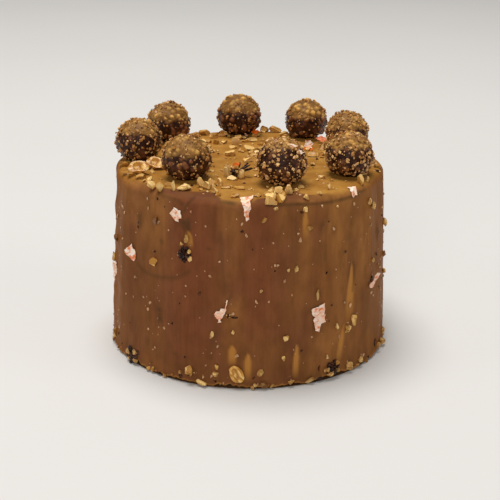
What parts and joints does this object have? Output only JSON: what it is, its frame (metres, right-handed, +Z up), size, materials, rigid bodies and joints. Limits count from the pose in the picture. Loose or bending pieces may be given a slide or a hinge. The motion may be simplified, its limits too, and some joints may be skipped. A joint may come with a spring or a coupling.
{
  "type": "honey cake",
  "caption": "Tall round layer cake under milk-chocolate glaze, with chopped hazelnuts, copper leaf flakes and a ring of nut-crusted chocolate balls on top.",
  "frame": {"origin": "middle of the flat base, on the surface that the cake stands on", "axes": "+Z up through the cake, -Y towards the front, +X to the right seen from the front"},
  "size_m": [0.1815, 0.1836, 0.1446],
  "materials": {
    "glaze": "satin",
    "nut_ball": "satin",
    "hazelnut": "satin",
    "toasted_crumb": "satin",
    "copper_leaf": "gloss"
  },
  "bodies": {
    "root": {"cake": "glaze", "nut_ball_1": "nut_ball", "nut_ball_2": "nut_ball", "nut_ball_3": "nut_ball", "nut_ball_4": "nut_ball", "nut_ball_5": "nut_ball", "nut_ball_6": "nut_ball", "nut_ball_7": "nut_ball", "nut_ball_8": "nut_ball"}
  },
  "joints": []
}
